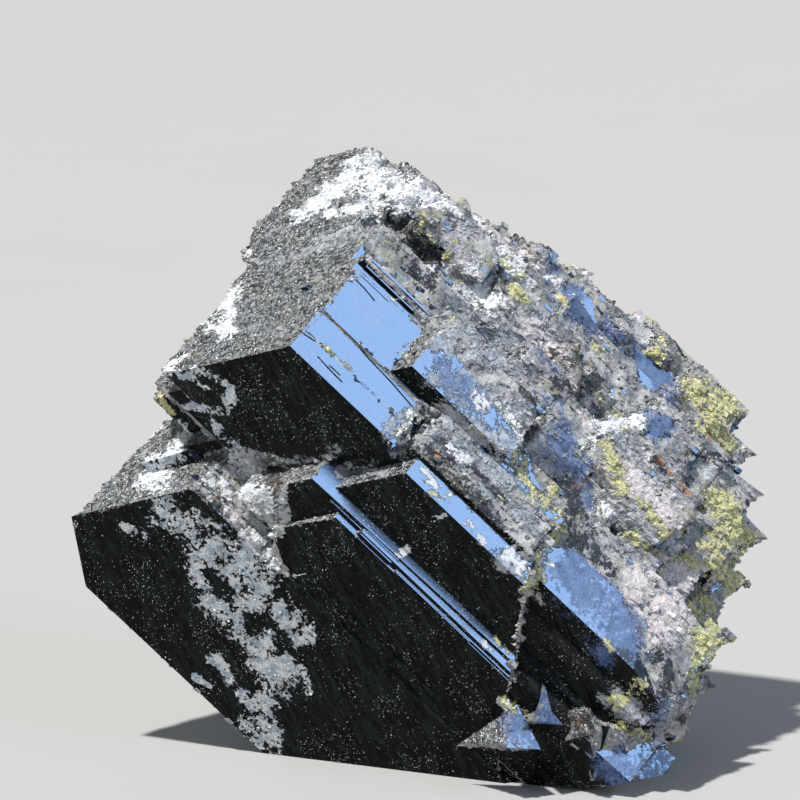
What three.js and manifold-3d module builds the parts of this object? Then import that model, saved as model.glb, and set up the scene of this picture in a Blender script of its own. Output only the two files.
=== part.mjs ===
// An epidote specimen: one mass of blocky black-green crystals in parallel growth.
// Every crystal is a sheared prism on the same three edge directions. The long one
// is the crystal's own long axis; the other two bound its end face.
// Millimetres, +Z up. The specimen stands on the flat break under it.

import * as THREE from 'three';
import { ConvexGeometry } from 'three/addons/geometries/ConvexGeometry.js';
import { mergeVertices } from 'three/addons/utils/BufferGeometryUtils.js';
import Module from 'manifold-3d';

const wasm = await Module();
wasm.setup();

// The shapes are laid out as the specimen is seen from the front: x to the right,
// y up the picture and z towards the eye, with the origin at the leading crystal's
// front corner. The eye looks down on the specimen by this angle.
const LOOK_DOWN = THREE.MathUtils.degToRad(15);

// The three edge directions of the parallel growth.
const ACROSS = new THREE.Vector3(-0.976, -0.216, -0.6).normalize();
const RISE = new THREE.Vector3(0.656, 0.755, -0.55).normalize();
const ALONG = new THREE.Vector3(0.725, -0.688, -0.1).normalize();

// The flat break under the specimen lies this far below the leading corner.
const BASE_DROP = 29.9;

// How far the broad right-hand face lies behind the leading crystal's own face,
// in its middle and at its rim.
const FACE_DEPTH = 1.3;
const RIM_DEPTH = 5.6;

// The shaded fronts of the lower crystals end on this break.
const BREAK_AT = new THREE.Vector3(14.9, -16.8, -2.7);
const BREAK_FACING = new THREE.Vector3(0.93, -0.27, 0.24);

// The lower left crystal has lost its outer corner on this break.
const LOWER_LEFT_CORNER_FACING = new THREE.Vector3(-0.71, 0.23, -0.66);

// The pale slanting end of the long crystal at the lower right.
const PALE_END_FACING = new THREE.Vector3(0.62, 0.24, 0.75);

const SEED = 11;

function randomFrom(seed) {
  let state = seed >>> 0;
  return () => {
    state = (state + 0x6d2b79f5) >>> 0;
    let t = state;
    t = Math.imul(t ^ (t >>> 15), t | 1);
    t ^= t + Math.imul(t ^ (t >>> 7), t | 61);
    return ((t ^ (t >>> 14)) >>> 0) / 4294967296;
  };
}

const random = randomFrom(SEED);
const between = (low, high) => low + (high - low) * random();

// One crystal stands slightly askew to the next, by up to so many degrees.
function askew(degrees) {
  return {
    turn: between(-degrees, degrees),
    lean: between(-degrees, degrees),
    swing: between(-degrees, degrees),
  };
}

function toSolid(geometry) {
  const bare = geometry.clone();
  bare.deleteAttribute('normal');
  bare.deleteAttribute('uv');
  const merged = mergeVertices(bare, 1e-4);
  return new wasm.Manifold(new wasm.Mesh({
    numProp: 3,
    vertProperties: new Float32Array(merged.attributes.position.array),
    triVerts: new Uint32Array(merged.index.array),
  }));
}

function toGeometry(solid) {
  const mesh = solid.getMesh();
  const geometry = new THREE.BufferGeometry();
  geometry.setAttribute('position', new THREE.BufferAttribute(mesh.vertProperties, 3));
  geometry.setIndex(new THREE.BufferAttribute(mesh.triVerts, 1));
  const flat = geometry.toNonIndexed();
  flat.computeVertexNormals();
  return flat;
}

const union = (solids) => solids.reduce((joined, solid) => joined.add(solid));

// Removes all that lies beyond a plane through a point, on the side it faces.
function breakOff(solid, point, facing) {
  const normal = facing.clone().normalize();
  return solid.trimByPlane(normal.clone().negate().toArray(), -normal.dot(point));
}

// The one outer skin: hollows sealed inside are filled and loose crumbs left out.
function outerSkin(solid) {
  const skins = solid.decompose();
  return skins.reduce((largest, skin) => (skin.volume() > largest.volume() ? skin : largest));
}

// A point given along the three edge directions, in millimetres from the leading corner.
function place(across, rise, along) {
  return new THREE.Vector3()
    .addScaledVector(ACROSS, across)
    .addScaledVector(RISE, rise)
    .addScaledVector(ALONG, along);
}

// Each section is drawn on the end face, across by rise, from the front edge.
const sections = {
  block: (w, h) => [[0, 0], [w, 0], [w, h], [0, h]],
  clipped: (w, h) => [[0, 0], [w * 0.82, 0], [w, h * 0.16], [w, h], [0, h]],
  hexagon: (w, h) => [[0, 0], [w * 0.72, 0], [w, h * 0.3], [w, h], [w * 0.25, h], [0, h * 0.78]],
  stepped: (w, h) => [[0, 0], [w, 0], [w, h], [0.45, h], [0.45, h * 0.7], [0, h * 0.66]],
};

// A crystal: its front corner, its width, height and length along the growth
// directions, its section, and how far it stands askew, in degrees.
function crystal(at, size, { section = 'block', turn = 0, lean = 0, swing = 0 } = {}) {
  const [width, height, length] = size;
  const points = Array.isArray(section) ? section : sections[section](width, height);
  const outline = new THREE.Shape(points.map(([x, y]) => new THREE.Vector2(x, y)));
  const geometry = new THREE.ExtrudeGeometry(outline, { depth: length, bevelEnabled: false });
  const twist = new THREE.Matrix4().makeRotationFromEuler(new THREE.Euler(
    THREE.MathUtils.degToRad(lean),
    THREE.MathUtils.degToRad(swing),
    THREE.MathUtils.degToRad(turn)));
  geometry.applyMatrix4(new THREE.Matrix4().makeBasis(ACROSS, RISE, ALONG).premultiply(twist));
  const corner = place(...at);
  geometry.translate(corner.x, corner.y, corner.z);
  return toSolid(geometry);
}

// A knob of crust or broken rock: the hull of points scattered on a ball.
function lump(centre, radius, points = 14) {
  const scattered = [];
  for (let i = 0; i < points; i += 1) {
    const height = between(-1, 1);
    const around = between(0, 2 * Math.PI);
    const ring = Math.sqrt(1 - height * height);
    const reach = radius * between(0.8, 1.1);
    scattered.push(new THREE.Vector3(
      centre.x + reach * ring * Math.cos(around),
      centre.y + reach * height,
      centre.z + reach * ring * Math.sin(around)));
  }
  return toSolid(new ConvexGeometry(scattered));
}

// A row of knobs along a line of places, spaced by the step.
function crustRow(places, radius, step) {
  const knobs = [];
  for (let i = 0; i + 1 < places.length; i += 1) {
    const from = place(...places[i]);
    const to = place(...places[i + 1]);
    const count = Math.max(1, Math.round(from.distanceTo(to) / step));
    for (let k = 0; k < count; k += 1) {
      const centre = from.clone().lerp(to, (k + between(0.2, 0.8)) / count);
      knobs.push(lump(centre, radius * between(0.75, 1.25)));
    }
  }
  return knobs;
}

// The leading crystal with the cracks between its laths, and the broad rough end
// face that climbs behind it.
function leadingCrystals() {
  const laths = [[0, 0], [8.6, 0], [10.4, 0.5], [11.0, 1.6], [11.0, 12.6], [1.6, 12.6],
    [1.6, 9.0], [0.1, 9.0], [0.1, 8.55], [0.7, 8.4], [0.7, 7.7], [0.12, 7.6], [0.12, 6.1],
    [0, 6.0], [0, 3.6], [0.14, 3.5], [0.14, 1.7], [0, 1.6]];
  return [
    crystal([0, 0, 0], [11.0, 12.6, 9.2], { section: laths }),
    crystal([1.6, 0.6, 1.8], [12.2, 10.0, 9.0], { section: 'clipped' }),
    crystal([1.3, 9.4, 0.6], [2.4, 0.5, 5.4]),
    crystal([3.2, 8.4, 0.1], [8.4, 4.6, 8.0], { section: 'clipped', turn: -2 }),
    crystal([4.8, 12.0, 0.3], [8.8, 4.6, 8.0], { section: 'hexagon', turn: 2 }),
    crystal([9.2, 2.4, 3.2], [7.4, 12.2, 9.0], { section: 'clipped' }),
  ];
}

// The crest above the end face: a pointed crystal, stubby ones beside it, the dark
// block behind them and the knobbly crust along the top.
function crest() {
  const point = breakOff(crystal([3.6, 15.6, 0.8], [3.4, 5.8, 6.0]),
    place(6.0, 20.9, 1.0), new THREE.Vector3(0.7, 0.7, -0.08));
  return [
    point,
    crystal([6.8, 15.2, 0.4], [5.6, 5.4, 6.0], { section: 'hexagon', turn: 3 }),
    crystal([9.6, 18.4, 0.6], [2.8, 4.6, 5.0], { section: 'clipped', turn: 4 }),
    crystal([2.0, 14.6, 2.4], [4.6, 2.9, 5.5], { turn: 4 }),
    crystal([13.0, 16.2, 2.1], [5.8, 10.6, 9.0], { section: 'hexagon' }),
    ...crustRow([[12.0, 16.4, 0.8], [10.2, 22.6, 0.8], [7.4, 20.2, 0.6], [4.6, 18.0, 0.7]], 1.0, 1.3),
    ...crustRow([[6.4, 16.4, 0.6], [1.9, 15.4, 2.0], [2.4, 16.8, 3.2]], 0.8, 1.3),
  ];
}

// The crystal raised over the leading one, and the frosted one above the blue strip.
function raisedCrystals() {
  return [
    crystal([-1.7, 3.7, 5.9], [6.0, 5.2, 8.6]),
    crystal([-0.7, 0.5, 10.2], [5.0, 4.0, 10.2],
      { section: [[0, 0], [5.0, 0], [5.0, 4.4], [0.6, 4.4], [0, 3.6]] }),
    ...crustRow([[-1.1, 4.2, 5.4], [-0.9, 6.4, 6.4]], 0.4, 0.7),
    ...crustRow([[0.1, 0.2, 9.0], [-0.2, 3.4, 9.2], [-0.3, 5.0, 11.6]], 0.55, 0.8),
  ];
}

// The steps of crystals below the leading one. The two lowest have a broken-off
// outer corner, and all of them end on one break.
function frontBlades() {
  const rounded = breakOff(crystal([6.0, -2.0, 12.5], [6.7, 6.0, 24.0]),
    place(10.9, -2.0, 12.8), new THREE.Vector3(-0.82, 0.55, -0.1));
  const lowest = breakOff(crystal([11.6, -2.15, 16.4], [2.9, 6.0, 24.0]),
    place(13.9, -2.15, 17.2), new THREE.Vector3(-0.8, 0.58, -0.1));
  const blades = union([
    crystal([0, -0.9, 11.0], [8.0, 7.0, 16.0]),
    crystal([5.4, -1.6, 9.4], [6.0, 6.0, 26.0], { section: 'stepped', turn: 1 }),
    crystal([5.5, -1.85, 14.2], [3.0, 3.0, 22.0]),
    crystal([5.8, -1.95, 17.7], [3.0, 3.0, 18.0]),
    rounded,
    lowest,
  ]);
  return [breakOff(blades, BREAK_AT, BREAK_FACING)];
}

// The broad crystal at the lower left, its outer corner broken away.
function lowerLeftCrystals() {
  const broad = crystal([12.7, -2.4, 7.7], [14.2, 13.0, 30.0],
    { section: [[0, 0], [13.4, -0.3], [14.2, 0.9], [14.2, 13], [0, 13]] });
  return [
    breakOff(broad, place(22.3, -2.4, 7.8), LOWER_LEFT_CORNER_FACING),
    crystal([14.4, 0.6, 6.6], [4.4, 6.0, 6.0], { section: 'clipped', turn: 3 }),
    ...crustRow([[12.4, -2.2, 6.8], [12.6, -2.0, 12.6], [13.2, -2.0, 16.2]], 0.6, 1.0),
  ];
}

// How far back the right-hand face lies: level in the middle, falling to its rims.
function faceDepth(rise, along) {
  const towardsTop = THREE.MathUtils.smoothstep(rise, 12, 24);
  const towardsEnd = THREE.MathUtils.smoothstep(along, 24, 36);
  return THREE.MathUtils.lerp(FACE_DEPTH, RIM_DEPTH, Math.max(towardsTop, towardsEnd));
}

// Short crystals and broken knobs packed side by side over the right-hand face.
// They leave out the corner that the raised crystals and the long pale-ended one fill.
function packedCrystals() {
  const solids = [];
  for (let along = 6.5; along < 32; along += 3.0) {
    for (let rise = 3.2; rise < 20; rise += 2.9) {
      const middle = [rise + between(-0.9, 0.9), along + between(-0.9, 0.9)];
      const [height, length] = [between(2.4, 4.4), between(2.8, 6.0)];
      const depth = faceDepth(...middle) + between(-0.7, 1.1);
      const taken = (along < 12 && rise < 13) || (along < 21 && rise < 6) || (along > 19 && rise < 8);
      const knobbly = random() < 0.3;
      const tilt = askew(13);
      if (taken) continue;
      if (knobbly) {
        solids.push(lump(place(depth + 1.0, ...middle), between(1.3, 2.4), 11));
      } else {
        solids.push(crystal([depth, middle[0] - height / 2, middle[1] - length / 2],
          [6.0, height, length], { section: 'clipped', ...tilt }));
      }
    }
  }
  return solids;
}

// The crystals whose upper edges make the top right-hand skyline, and those whose
// broken ends make the right-hand one, with broken knobs between them.
function rimCrystals() {
  const skyline = [[4.4, 21.9], [7.0, 23.2], [10.4, 24.5], [13.6, 25.0], [17.0, 25.1],
    [20.8, 25.8], [24.0, 26.4]];
  const ends = [[23.2, 29.0], [20.6, 31.8], [17.2, 34.6], [13.2, 36.4], [8.8, 37.6], [4.9, 38.4],
    [1.7, 38.2]];
  return [
    ...skyline.map(([along, top]) => crystal([RIM_DEPTH + between(0, 0.6), top - 7, along],
      [9, 7, between(3.8, 5.0)], { section: 'hexagon', ...askew(3) })),
    ...ends.map(([rise, end]) => crystal([RIM_DEPTH + between(-0.6, 0.6), rise - 3.5, end - 10],
      [8, 5.5, 10], { section: 'clipped', ...askew(4) })),
    ...skyline.map(([along, top]) => lump(place(RIM_DEPTH + 0.9, top - 1.7, along + 1.4),
      between(1.5, 2.1))),
    ...skyline.map(([along, top]) => lump(place(RIM_DEPTH + 0.4, top - 4.4, along + 3.2),
      between(1.1, 1.7), 11)),
    ...ends.map(([rise, end]) => lump(place(RIM_DEPTH + 1.4, rise - 1.4, end - 1.9),
      between(1.9, 2.7), 18)),
    ...ends.map(([rise, end]) => lump(place(RIM_DEPTH - 0.3, rise - 2.6, end - 4.6),
      between(1.3, 2.0), 11)),
  ];
}

// The long dark-blue crystal at the lower right, with its pale slanting end.
function paleEndedCrystal() {
  const long = crystal([0.6, 0.6, 20.4], [9.0, 7.2, 15.0],
    { section: [[0, 0], [9, 0], [9, 7.2], [1.2, 7.2], [0.9, 4.0], [0, 3.4]] });
  return [
    breakOff(long, place(0.6, 1.1, 30.6), PALE_END_FACING),
    crystal([2.8, -0.2, 22.0], [6.4, 4.0, 13.0]),
    crystal([5.0, -0.8, 24.0], [6.4, 4.0, 12.0], { turn: 1 }),
  ];
}

// A sharp chip of crystal: one flat face and a point behind it.
function chip(corners, depth) {
  const [first, second, third] = corners.map((corner) => place(...corner));
  const middle = first.clone().add(second).add(third).divideScalar(3);
  const behind = middle.clone().addScaledVector(ACROSS, depth);
  return toSolid(new ConvexGeometry([first, second, third, behind]));
}

// The pale chips and crumbs under the break and the rounded knobs at the lower right.
function lowerShards() {
  return [
    chip([[6.3, -0.3, 30.0], [6.3, -2.6, 31.4], [6.3, -1.0, 33.2]], 5),
    chip([[6.8, -2.2, 29.9], [6.8, -5.0, 31.2], [6.8, -3.4, 33.0]], 5),
    ...crustRow([[7.4, -1.6, 29.0], [8.6, -2.4, 31.6]], 0.7, 1.1),
    ...crustRow([[6.2, 2.0, 34.0], [6.4, 6.4, 37.2], [6.0, 3.4, 38.0], [6.6, 0.4, 36.6]], 1.6, 1.9),
  ];
}

// The yellow-green seam that winds up the middle, as a low crumbly ridge.
function seam() {
  return crustRow([[0.5, -0.7, 21.6], [0.1, 2.2, 20.6], [0.2, 3.9, 20.6], [0.3, 4.3, 18.4],
    [0.5, 5.6, 16.4], [1.0, 8.4, 14.8]], 0.5, 0.75);
}

// The body that all the crystals grow from, seen only from behind and below.
function body() {
  const solids = [
    crystal([4.5, 1.0, 6.5], [13, 19.5, 23], { section: 'clipped' }),
    crystal([7.0, -1.8, 17.0], [13, 18, 19], { section: 'clipped' }),
    crystal([13.0, -2.0, 13.0], [12, 16, 30], { section: 'clipped' }),
    crystal([9.5, -1.6, 30.0], [9, 8, 12], { section: 'hexagon', turn: 2 }),
    crystal([15.0, 4.0, 27.0], [10.5, 11, 16], { section: 'hexagon', lean: -3 }),
  ];
  for (let along = 7.5; along < 31; along += 5) {
    for (let rise = 3; rise < 21; rise += 5) {
      const size = [between(6, 10), between(4, 6), between(5, 7.5)];
      solids.push(crystal([11, rise, along], size, { section: 'hexagon', ...askew(12) }));
    }
  }
  return solids;
}

// The flat break underneath, and the shallow chip along its front edge.
function standOnBreak(solid) {
  const down = new THREE.Vector3(0, -Math.cos(LOOK_DOWN), -Math.sin(LOOK_DOWN));
  const chipped = breakOff(solid, new THREE.Vector3(0, -28.1, -2), new THREE.Vector3(0, -1, 0.09));
  return breakOff(chipped, down.clone().multiplyScalar(BASE_DROP), down);
}

const specimen = outerSkin(standOnBreak(union([
  ...leadingCrystals(),
  ...crest(),
  ...raisedCrystals(),
  ...frontBlades(),
  ...lowerLeftCrystals(),
  ...packedCrystals(),
  ...rimCrystals(),
  ...paleEndedCrystal(),
  ...lowerShards(),
  ...seam(),
  ...body(),
])));

const material = new THREE.MeshStandardMaterial({
  color: new THREE.Color(0.02, 0.024, 0.018),
  roughness: 0.2,
  metalness: 0,
  flatShading: true,
});

const mesh = new THREE.Mesh(toGeometry(specimen), material);
mesh.name = 'epidote_cluster';
mesh.rotation.x = Math.PI / 2 - LOOK_DOWN;
mesh.updateMatrixWorld(true);
const bounds = new THREE.Box3().setFromObject(mesh, true);
const middle = bounds.getCenter(new THREE.Vector3());
mesh.position.set(-middle.x, -middle.y, -bounds.min.z);

const part = new THREE.Group();
part.add(mesh);

export default part;
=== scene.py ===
import math

import bmesh
import bpy
import numpy as np
from mathutils import Matrix, Vector, noise
from mathutils.bvhtree import BVHTree
from mathutils.geometry import delaunay_2d_cdt


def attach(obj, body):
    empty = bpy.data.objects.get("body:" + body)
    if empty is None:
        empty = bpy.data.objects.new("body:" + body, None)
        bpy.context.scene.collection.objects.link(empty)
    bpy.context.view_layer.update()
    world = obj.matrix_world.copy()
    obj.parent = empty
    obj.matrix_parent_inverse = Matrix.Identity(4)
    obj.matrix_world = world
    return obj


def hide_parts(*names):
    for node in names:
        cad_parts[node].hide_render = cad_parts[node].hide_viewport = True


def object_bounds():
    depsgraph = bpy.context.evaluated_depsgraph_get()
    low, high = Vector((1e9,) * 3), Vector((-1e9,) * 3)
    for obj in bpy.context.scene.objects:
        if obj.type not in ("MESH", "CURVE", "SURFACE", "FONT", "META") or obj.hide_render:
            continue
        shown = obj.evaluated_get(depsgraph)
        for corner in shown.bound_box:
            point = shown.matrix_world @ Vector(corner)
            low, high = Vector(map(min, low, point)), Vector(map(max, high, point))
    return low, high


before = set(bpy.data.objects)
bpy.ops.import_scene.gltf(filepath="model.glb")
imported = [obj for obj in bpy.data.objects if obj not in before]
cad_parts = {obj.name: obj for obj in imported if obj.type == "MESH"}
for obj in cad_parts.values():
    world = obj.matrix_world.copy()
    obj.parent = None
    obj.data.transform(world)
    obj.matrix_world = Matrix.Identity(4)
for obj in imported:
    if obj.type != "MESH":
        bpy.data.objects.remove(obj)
CAD_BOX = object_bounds()

MM = 0.001
NODE = "epidote_cluster"
BODY = "root"
SEED = 7

# The photograph's view: its size, how large one of its pixels is at the leading
# crystal's front corner, where that corner is in it, and how it looks down.
PHOTO_SIZE = 800
PIXEL = 0.064 * MM
CORNER_PIXEL = (290, 346)
LOOK_DOWN = math.radians(15)
CAMERA_DISTANCE = 400 * MM
SENSOR = 36.0

# The leading crystal's front corner, in the part's frame.
LEADING_CORNER = Vector((-8.45, -11.26, 29.9)) * MM

# The lights look at this place.
LIT_MIDDLE = Vector((0, 0, 20)) * MM

# Directions in the picture: to the right, up it and towards the eye.
RIGHT = Vector((1, 0, 0))
UP = Vector((0, math.sin(LOOK_DOWN), math.cos(LOOK_DOWN)))
TOWARDS = Vector((0, -math.cos(LOOK_DOWN), math.sin(LOOK_DOWN)))

random = np.random.default_rng(SEED)


def in_picture(x, y, z):
    """A direction or offset given along the picture's right, up and towards the eye."""
    return RIGHT * x + UP * y + TOWARDS * z


# The three edge directions of the parallel growth, as in the solid.
ACROSS = in_picture(-0.976, -0.216, -0.6).normalized()
RISE = in_picture(0.656, 0.755, -0.55).normalized()
ALONG = in_picture(0.725, -0.688, -0.1).normalized()
LATTICE = np.array([ACROSS, RISE, ALONG]).T

# The faces they make: the bright smooth one, the shaded one and the rough end face.
BRIGHT_NORMAL = ALONG.cross(RISE).normalized()
SHADED_NORMAL = ACROSS.cross(ALONG).normalized()
END_NORMAL = RISE.cross(ACROSS).normalized()
BRIGHT, SHADED, END, BROKEN, FROSTED = range(5)
FACE_NORMALS = np.array([BRIGHT_NORMAL, SHADED_NORMAL, END_NORMAL])

# The camera stands on the axis of the picture's middle.
HALF_PICTURE = PHOTO_SIZE / 2
CAMERA_PLACE = LEADING_CORNER + in_picture(
    (HALF_PICTURE - CORNER_PIXEL[0]) * PIXEL,
    (CORNER_PIXEL[1] - HALF_PICTURE) * PIXEL,
    CAMERA_DISTANCE)

# What covers the crystals, with painted blue sky reflection and painted shade among it, as
# strokes over the photograph: the half width of a stroke and the pixels of its line. Each is
# laid on the solid where the eye meets it.
PALE = [
    (13, (196, 314), (210, 308), (224, 299), (239, 291)),
    (10, (222, 302), (228, 318), (230, 331)), (9, (203, 314), (214, 325)),
    (8, (170, 367), (181, 357)), (16, (303, 219), (318, 206), (334, 192), (348, 174), (360, 158)),
    (14, (360, 155), (372, 168), (386, 176)), (15, (345, 178), (362, 186), (380, 190)),
    (14, (388, 178), (404, 190), (424, 194), (446, 203)),
    (9, (330, 212), (356, 206), (384, 204), (410, 206)), (7, (444, 202), (456, 214), (470, 222)),
    (6, (300, 222), (306, 217)), (5, (340, 216), (362, 212), (384, 206), (404, 214)),
    (5, (244, 254), (250, 253)), (5.2, (178, 378), (198, 371), (219, 377)),
    (5.4, (222, 379), (231, 394), (226, 410)), (5.2, (186, 403), (204, 408), (220, 414)),
    (3, (196, 384), (210, 388)), (5.2, (213, 420), (222, 436), (236, 446)),
    (15, (176, 447), (167, 460), (158, 476), (152, 486)), (10, (236, 455), (246, 472)),
    (12, (248, 480), (254, 502), (258, 520), (262, 534)), (4, (193, 488), (203, 481), (214, 484)),
    (4, (222, 480), (230, 496), (226, 514)), (13, (160, 512), (180, 520), (196, 536)),
    (5, (124, 526), (142, 536)), (10, (190, 556), (200, 580)),
    (19, (220, 542), (240, 562), (256, 590)), (6, (204, 524), (222, 528)),
    (12, (206, 604), (230, 620)), (10, (236, 628), (250, 652)), (13, (280, 608), (296, 632)),
    (15, (262, 640), (270, 664), (280, 684)), (13, (264, 700), (256, 724), (262, 744)),
    (6, (212, 656), (232, 680)), (5, (238, 690), (246, 702)), (4, (194, 676), (212, 688)),
    (6, (300, 668), (310, 690)), (6, (596, 440), (604, 428), (610, 419)),
    (9, (462, 286), (478, 296), (498, 304)), (8, (448, 206), (462, 214), (478, 222)),
    (11, (500, 254), (514, 266), (530, 284)), (7, (536, 268), (550, 282)),
    (6, (498, 402), (514, 420), (524, 434)), (5, (476, 394), (490, 408)),
    (8, (598, 432), (616, 422), (636, 420)), (5, (572, 262), (586, 274)),
    (3, (392, 300), (404, 296)), (8, (452, 270), (474, 268)), (2, (432, 522), (446, 514)),
    (3, (399, 556), (408, 548)), (3, (440, 500), (450, 494)), (3, (480, 640), (496, 652)),
    (4, (424, 470), (436, 486)), (4, (470, 524), (482, 540)),
    (6, (506, 552), (520, 566), (532, 580)), (5, (540, 556), (552, 562)),
    (5, (452, 448), (466, 462)), (5, (400, 430), (416, 418), (434, 420)),
]

YELLOW_GREEN = [
    (7, (519, 452), (524, 474), (530, 493), (544, 505), (556, 514), (561, 527)),
    (5.5, (547, 503), (554, 488)), (7.5, (561, 527), (548, 543), (540, 560), (532, 582)),
    (6, (532, 582), (524, 588)), (16, (694, 394), (716, 402), (742, 402)),
    (13, (706, 424), (728, 432), (748, 440)), (15, (716, 494), (732, 520), (744, 556)),
    (12, (712, 540), (722, 566), (738, 584)),
    (13, (702, 606), (709, 636), (702, 668), (694, 700)), (5, (600, 392), (612, 410), (624, 428)),
    (6, (630, 530), (646, 546), (660, 552)), (6, (724, 640), (718, 668)),
    (9, (504, 258), (514, 276), (522, 298)), (4, (560, 296), (566, 304)),
    (5, (596, 348), (602, 354)), (6, (648, 318), (666, 332), (684, 346)),
    (7, (604, 444), (616, 468), (622, 496)), (6, (640, 500), (656, 520), (668, 540)),
    (4, (424, 214), (420, 228), (432, 240)), (4, (452, 240), (446, 256)),
    (6, (618, 704), (632, 694), (648, 688)), (5, (616, 724), (634, 732), (650, 740)),
    (5, (500, 702), (514, 706), (526, 712)), (3, (158, 392), (164, 404), (172, 412)),
    (3, (430, 492), (446, 500)), (3, (496, 640), (508, 652)), (4, (606, 640), (610, 648)),
    (5, (680, 556), (694, 566)),
]

MAUVE = [
    (19, (640, 575), (664, 600), (660, 636)), (17, (668, 566), (690, 580), (676, 612)),
    (14, (614, 470), (640, 490), (672, 520)), (9, (560, 350), (580, 370), (570, 392)),
    (8, (524, 318), (540, 336), (552, 356)), (9, (452, 200), (490, 206), (528, 224), (560, 242)),
    (8, (560, 250), (590, 276), (622, 302), (652, 318)),
    (7, (590, 560), (606, 572)), (7, (527, 588), (540, 600)),
    (5, (225, 500), (236, 520), (240, 536)), (9, (470, 218), (500, 236), (530, 262)),
    (6, (704, 600), (716, 620)), (6, (590, 400), (584, 420)),
]

RUST = [
    (4, (655, 460), (672, 476), (690, 494), (702, 510)), (3, (650, 452), (660, 462)),
    (4, (705, 436), (730, 446)), (1.5, (248, 262), (228, 280), (206, 304)),
    (2, (436, 452), (440, 456)),
]

FROST = [
    (11, (432, 340), (470, 352), (506, 366)),
    (11, (420, 312), (450, 326), (486, 330), (520, 342)),
    (11, (440, 372), (470, 392), (500, 404), (524, 416)),
    (12, (446, 420), (480, 436), (512, 446)),
    (12, (434, 436), (464, 462), (494, 492), (528, 522)),
    (12, (480, 462), (516, 490), (544, 514)), (6, (384, 436), (402, 418), (424, 410), (440, 416)),
    (6, (392, 452), (420, 440), (440, 430)), (6, (340, 470), (364, 470), (388, 474)),
    (6, (296, 462), (316, 458), (340, 452)), (14, (600, 420), (626, 440), (634, 476)),
    (16, (616, 510), (646, 540), (684, 552)), (14, (640, 470), (680, 470), (700, 520)),
    (12, (540, 226), (580, 262), (620, 300)), (12, (460, 216), (500, 240), (540, 262)),
    (8, (500, 556), (514, 566), (524, 580)), (9, (318, 240), (346, 232), (376, 228)),
    (7, (280, 262), (310, 250), (340, 244)), (9, (520, 300), (546, 330), (560, 360)),
    (12, (610, 700), (640, 716), (676, 706)), (8, (622, 740), (660, 738)),
]

# Painted blue sky reflection, laid on faces where they mirror the sky.
PAINTED_BLUE_REFLECTION = [
    (8, (545, 272), (556, 264)), (12, (566, 292), (578, 304), (588, 322)),
    (9, (604, 324), (618, 340)), (11, (634, 346), (652, 366), (668, 392)),
    (11, (644, 412), (660, 428)), (10, (548, 402), (562, 420), (566, 446)),
    (12, (548, 440), (574, 462), (586, 494)), (9, (574, 490), (590, 506)),
    (5, (540, 352), (556, 366), (570, 374)), (19, (560, 566), (584, 588), (608, 612), (629, 644)),
    (16, (574, 560), (598, 580), (616, 600), (632, 630)), (9, (552, 560), (562, 556), (574, 560)),
    (9, (516, 716), (524, 736), (532, 746)), (16, (610, 760), (640, 770), (664, 764)),
    (7, (650, 566), (676, 572)), (9, (508, 712), (514, 732)), (9, (650, 716), (668, 708)),
    (8, (438, 366), (460, 384), (480, 400)),
]

# The bare black crystal and its dark growth lines, with painted shade in hollows and crevices.
DARK_AND_PAINTED_SHADE = [
    (4, (362, 224), (376, 216), (394, 218)), (13, (384, 218), (404, 224), (424, 246), (434, 272)),
    (7, (400, 250), (416, 272), (428, 290)), (11, (576, 350), (590, 370), (600, 396)),
    (7, (560, 386), (580, 398)), (3, (560, 396), (548, 400)),
    (8, (704, 450), (722, 460), (742, 470)), (3, (426, 328), (440, 330)),
    (4, (520, 388), (534, 402), (544, 420)),
    (6, (600, 404), (606, 424), (600, 440)), (12, (556, 520), (572, 534), (590, 546)),
    (9, (566, 482), (574, 504), (582, 520)), (6, (600, 500), (606, 520)),
    (9, (660, 656), (672, 668), (664, 690)), (8, (690, 716), (704, 730)),
    (8, (426, 448), (446, 466), (470, 490), (500, 522)),
    (4.5, (440, 440), (462, 458), (484, 480), (504, 500)), (10, (594, 552), (610, 570)),
    (9, (566, 714), (582, 732)), (11, (276, 460), (272, 488), (266, 518)),
    (6, (256, 448), (296, 452), (326, 452)), (9, (196, 440), (214, 450), (232, 464)),
    (6, (206, 496), (214, 510), (228, 528)), (4, (430, 436), (448, 446)),
    (8, (622, 660), (640, 690), (648, 710)), (10, (530, 600), (556, 640), (590, 676)),
]

LAYERS = {
    "frost": FROST,
    # Painted blue sky reflection.
    "blue": PAINTED_BLUE_REFLECTION,
    "mauve": MAUVE,
    # Black crystal, with painted shade in hollows and crevices.
    "dark": DARK_AND_PAINTED_SHADE,
    "rust": RUST,
    "yellow_green": YELLOW_GREEN,
    "pale": PALE,
}

# Where faces are frosted, which is the right-hand mass, a hollow at the left, one face in
# the middle and the crest, and the faces there that are glassy all the same, each by its
# outline over the photograph.
FROSTED_PARTS = [
    [(366, 236), (392, 196), (452, 186), (800, 190), (800, 800), (690, 800), (648, 672), (586, 556),
     (548, 544), (566, 524), (536, 480), (522, 440), (442, 336), (396, 292), (366, 262)],
    [(206, 452), (240, 446), (300, 462), (286, 490), (292, 520), (274, 540), (290, 578), (262, 560),
     (232, 524), (196, 486)],
    [(415, 450), (442, 413), (557, 527), (533, 558)],
    [(300, 150), (440, 150), (480, 214), (440, 240), (392, 226), (372, 236), (350, 236),
     (300, 228)],
]
GLASSY = [
    [(640, 668), (530, 592), (540, 548), (586, 556), (622, 592)],
    [(560, 284), (592, 296), (596, 330), (572, 322)],
    [(632, 342), (672, 372), (676, 400), (640, 384)],
    [(640, 404), (676, 420), (670, 440), (640, 436)],
]

# Of the bright faces on the sides that the photograph doesn't show, this share stays glassy.
GLASSY_SHARE_UNSEEN = 0.35

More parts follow.
